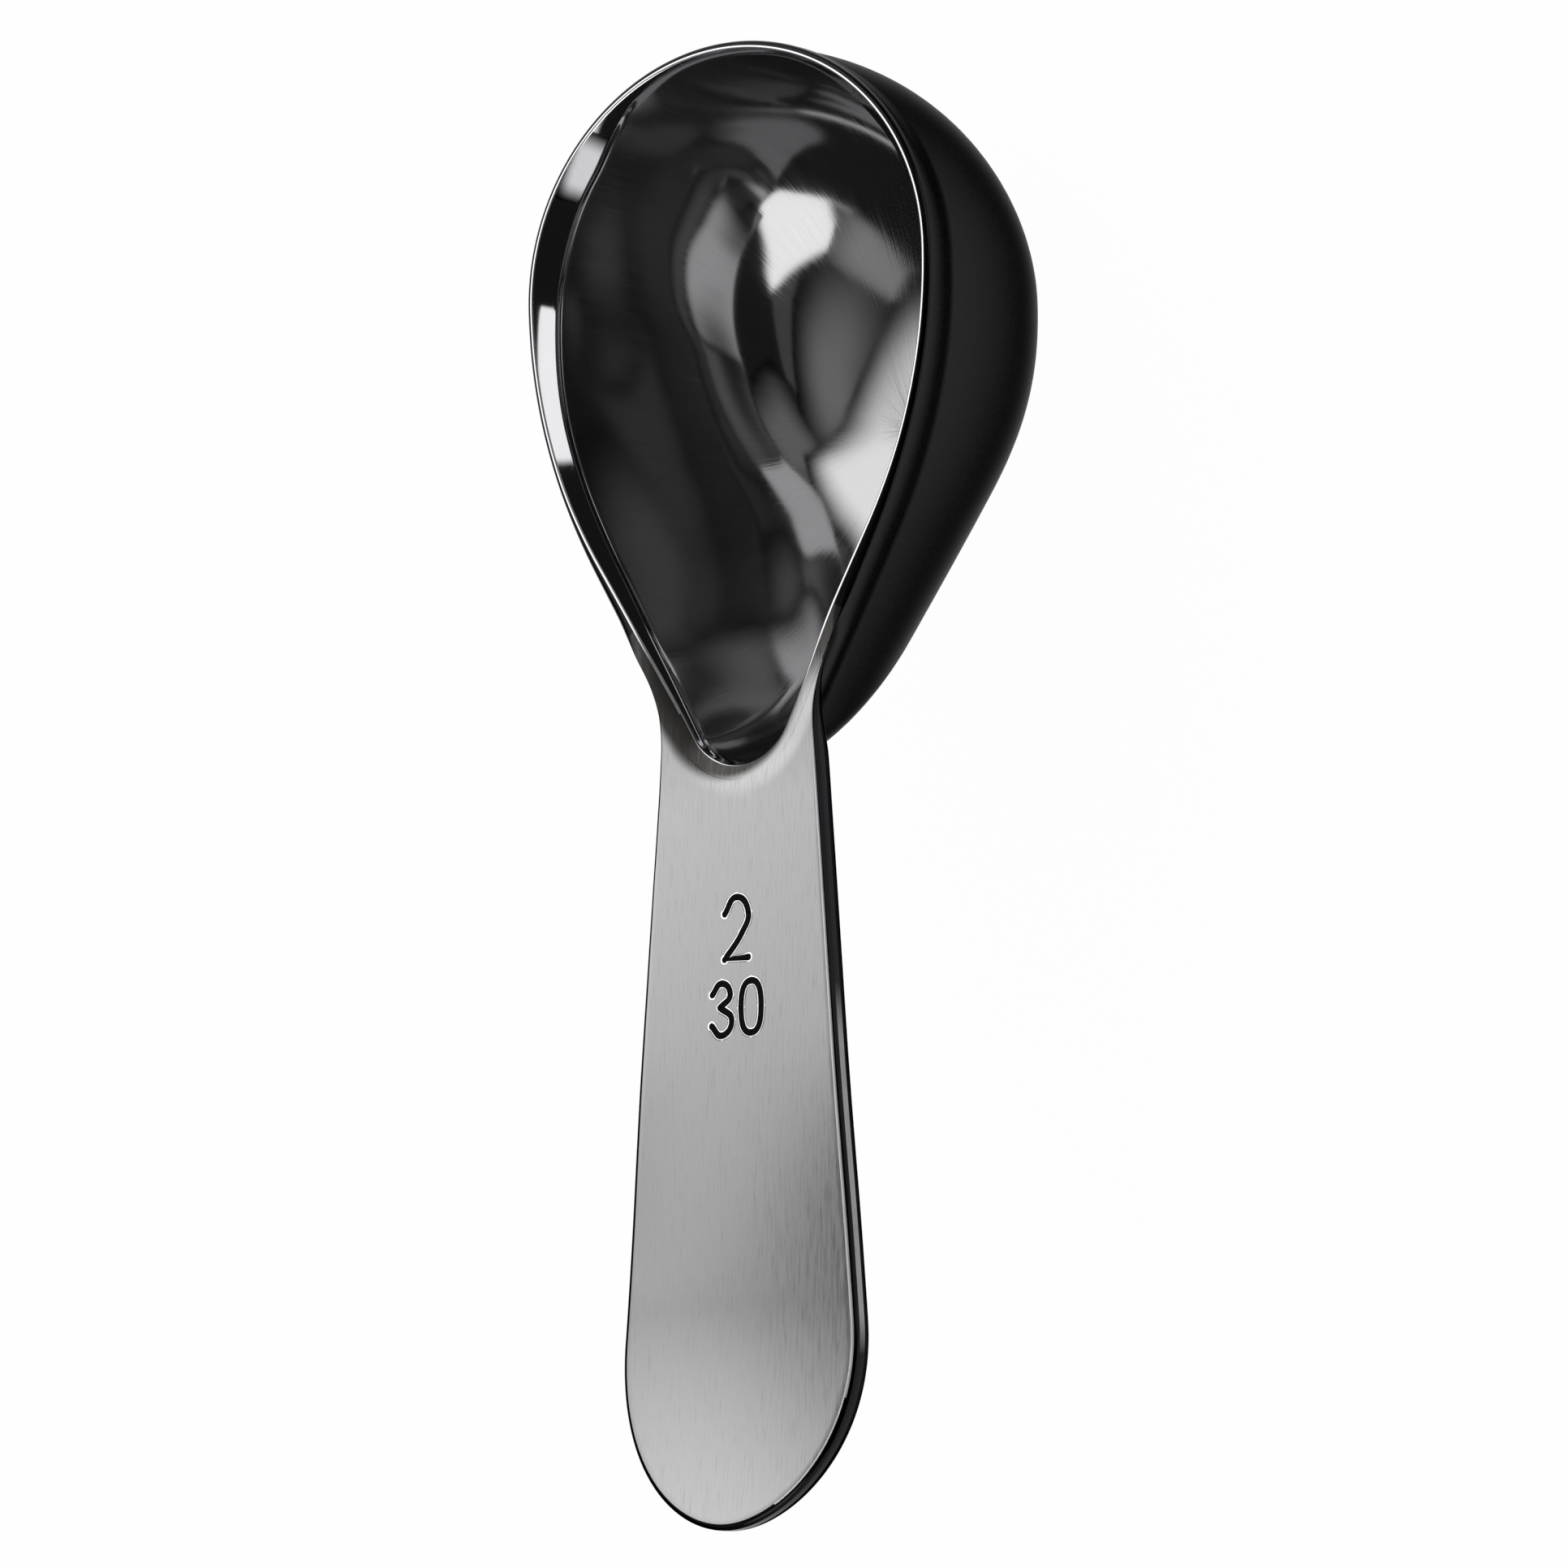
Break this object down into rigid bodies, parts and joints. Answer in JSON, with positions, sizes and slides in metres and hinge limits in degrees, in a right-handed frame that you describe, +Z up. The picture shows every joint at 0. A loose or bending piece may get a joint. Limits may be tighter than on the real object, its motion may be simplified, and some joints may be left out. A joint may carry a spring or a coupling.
{
  "type": "coffee scoop",
  "caption": "Measuring scoop for ground coffee: deep teardrop bowl with an upright collar and a flat, spreading handle welded round its tip, in black-coated steel.",
  "frame": {"origin": "middle of the flat spot under the bowl, on the plane that it rests on", "axes": "+Z up out of the bowl, +Y to the bowl's rounded front, so the handle runs out along -Y, and X across"},
  "size_m": [0.0408, 0.1203, 0.0324],
  "materials": {
    "polished_black_steel": "black vapour-deposited coating on stainless steel, mirror polished inside, satin outside",
    "brushed_black_steel": "gunmetal vapour-deposited coating on stainless steel, brushed along its length, polished edges"
  },
  "bodies": {
    "root": {"bowl": "polished_black_steel", "handle": "brushed_black_steel"}
  },
  "joints": []
}
